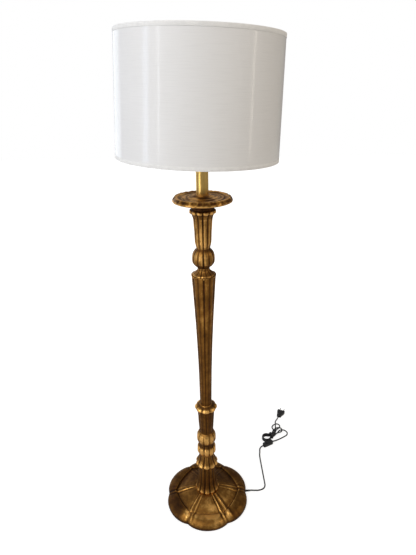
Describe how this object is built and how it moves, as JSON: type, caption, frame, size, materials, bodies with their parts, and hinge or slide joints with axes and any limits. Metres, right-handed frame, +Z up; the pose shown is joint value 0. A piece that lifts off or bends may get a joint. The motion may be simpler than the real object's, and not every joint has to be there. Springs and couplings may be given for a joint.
{
  "type": "floor lamp",
  "caption": "Candlestick floor lamp: a carved gilt column on a lobed base, a brass candle tube, and a white drum shade on a harp, with its cord laid out",
  "frame": {"origin": "on the floor under the middle of the column, at the centre of the felt under the base", "axes": "+Z up the column; -Y towards the viewer of the lamp's front; +X to the viewer's right, the side on which the cord leaves"},
  "size_m": [0.6362, 0.7346, 1.6446],
  "materials": {
    "gilt": "carved wood under aged water gilding, worn to red bole and brown toning",
    "felt": "dense wool felt",
    "iron": "rough casting, dark paint",
    "steel": "zinc plated",
    "brass": "satin, lacquered",
    "shade": "white satin fabric laminated to a stiff liner",
    "tape": "white satin tape",
    "liner": "pressed fibre",
    "block": "moulded phenolic",
    "glass": "opal",
    "cap": "rolled thread",
    "cord": "smooth black sheath",
    "tie": "soft strap",
    "black": "moulded, satin",
    "pins": "polished nickel"
  },
  "bodies": {
    "stand": {"felt_pad": "felt", "base_shell": "gilt", "base_weight": "iron", "weight_screws": "steel", "pipe_washer": "steel", "pipe_nut": "brass", "pipe": "steel", "column_foot": "gilt", "skirt_collar": "gilt", "petal_bead": "gilt", "lower_ball": "gilt", "lower_vase": "gilt", "leaf_collar": "gilt", "main_shaft": "gilt", "neck_flower": "gilt", "melon_ball": "gilt", "upper_vase": "gilt", "upper_collar": "gilt", "drip_dish": "gilt", "candle_tube": "brass", "check_ring": "brass", "tube_cap": "brass", "tube_locknut": "brass", "harp_saddle": "steel", "harp": "brass", "holder_cap": "brass", "holder_shell": "brass", "holder_liner": "liner", "holder_block": "block", "terminal_screws": "brass", "screw_shell": "brass", "center_contact": "brass", "inner_cord": "cord", "cord_relief": "black", "cord_lead": "cord", "cord_link": "cord", "cord_hank": "cord", "hank_tie": "tie", "cord_tail": "cord", "switch_base": "black", "switch_cover": "black", "switch_contacts": "brass", "switch_screws": "steel", "plug_body": "black", "plug_pins": "pins"},
    "shade": {"harp_stud": "brass", "shade_panel": "shade", "spider_frame": "steel", "lower_ring": "steel", "upper_trim": "tape", "lower_trim": "tape"},
    "finial_body": {"finial": "brass"},
    "bulb": {"bulb_tip": "cap", "bulb_cap": "cap", "bulb_glass": "glass"},
    "left_ferrule": {"ferrule_left": "brass"},
    "right_ferrule": {"ferrule_right": "brass"},
    "rocker": {"switch_rocker": "black"}
  },
  "joints": [
    {"name": "shade_swivel", "type": "hinge", "parent": "stand", "child": "shade", "pos_m": [0, 0, 1.617], "axis": [0.0401, 0, 0.9992], "continuous": true},
    {"name": "finial_turn", "type": "hinge", "parent": "shade", "child": "finial_body", "pos_m": [0, 0, 1.617], "axis": [0.0401, 0, 0.9992], "range_deg": [0, 1440]},
    {"name": "bulb_turn", "type": "hinge", "parent": "stand", "child": "bulb", "pos_m": [0, 0, 1.4], "axis": [0, 0, 1], "range_deg": [0, 1080]},
    {"name": "ferrule_left_lift", "type": "slide", "parent": "stand", "child": "left_ferrule", "axis": [0, 0, 1], "range_m": [0, 0.01]},
    {"name": "ferrule_right_lift", "type": "slide", "parent": "stand", "child": "right_ferrule", "axis": [0, 0, 1], "range_m": [0, 0.01]},
    {"name": "switch_rocker_tilt", "type": "hinge", "parent": "stand", "child": "rocker", "pos_m": [0.279, 0.266, 0.0106], "axis": [0.4617, -0.887, 0], "range_deg": [0, 14]}
  ]
}
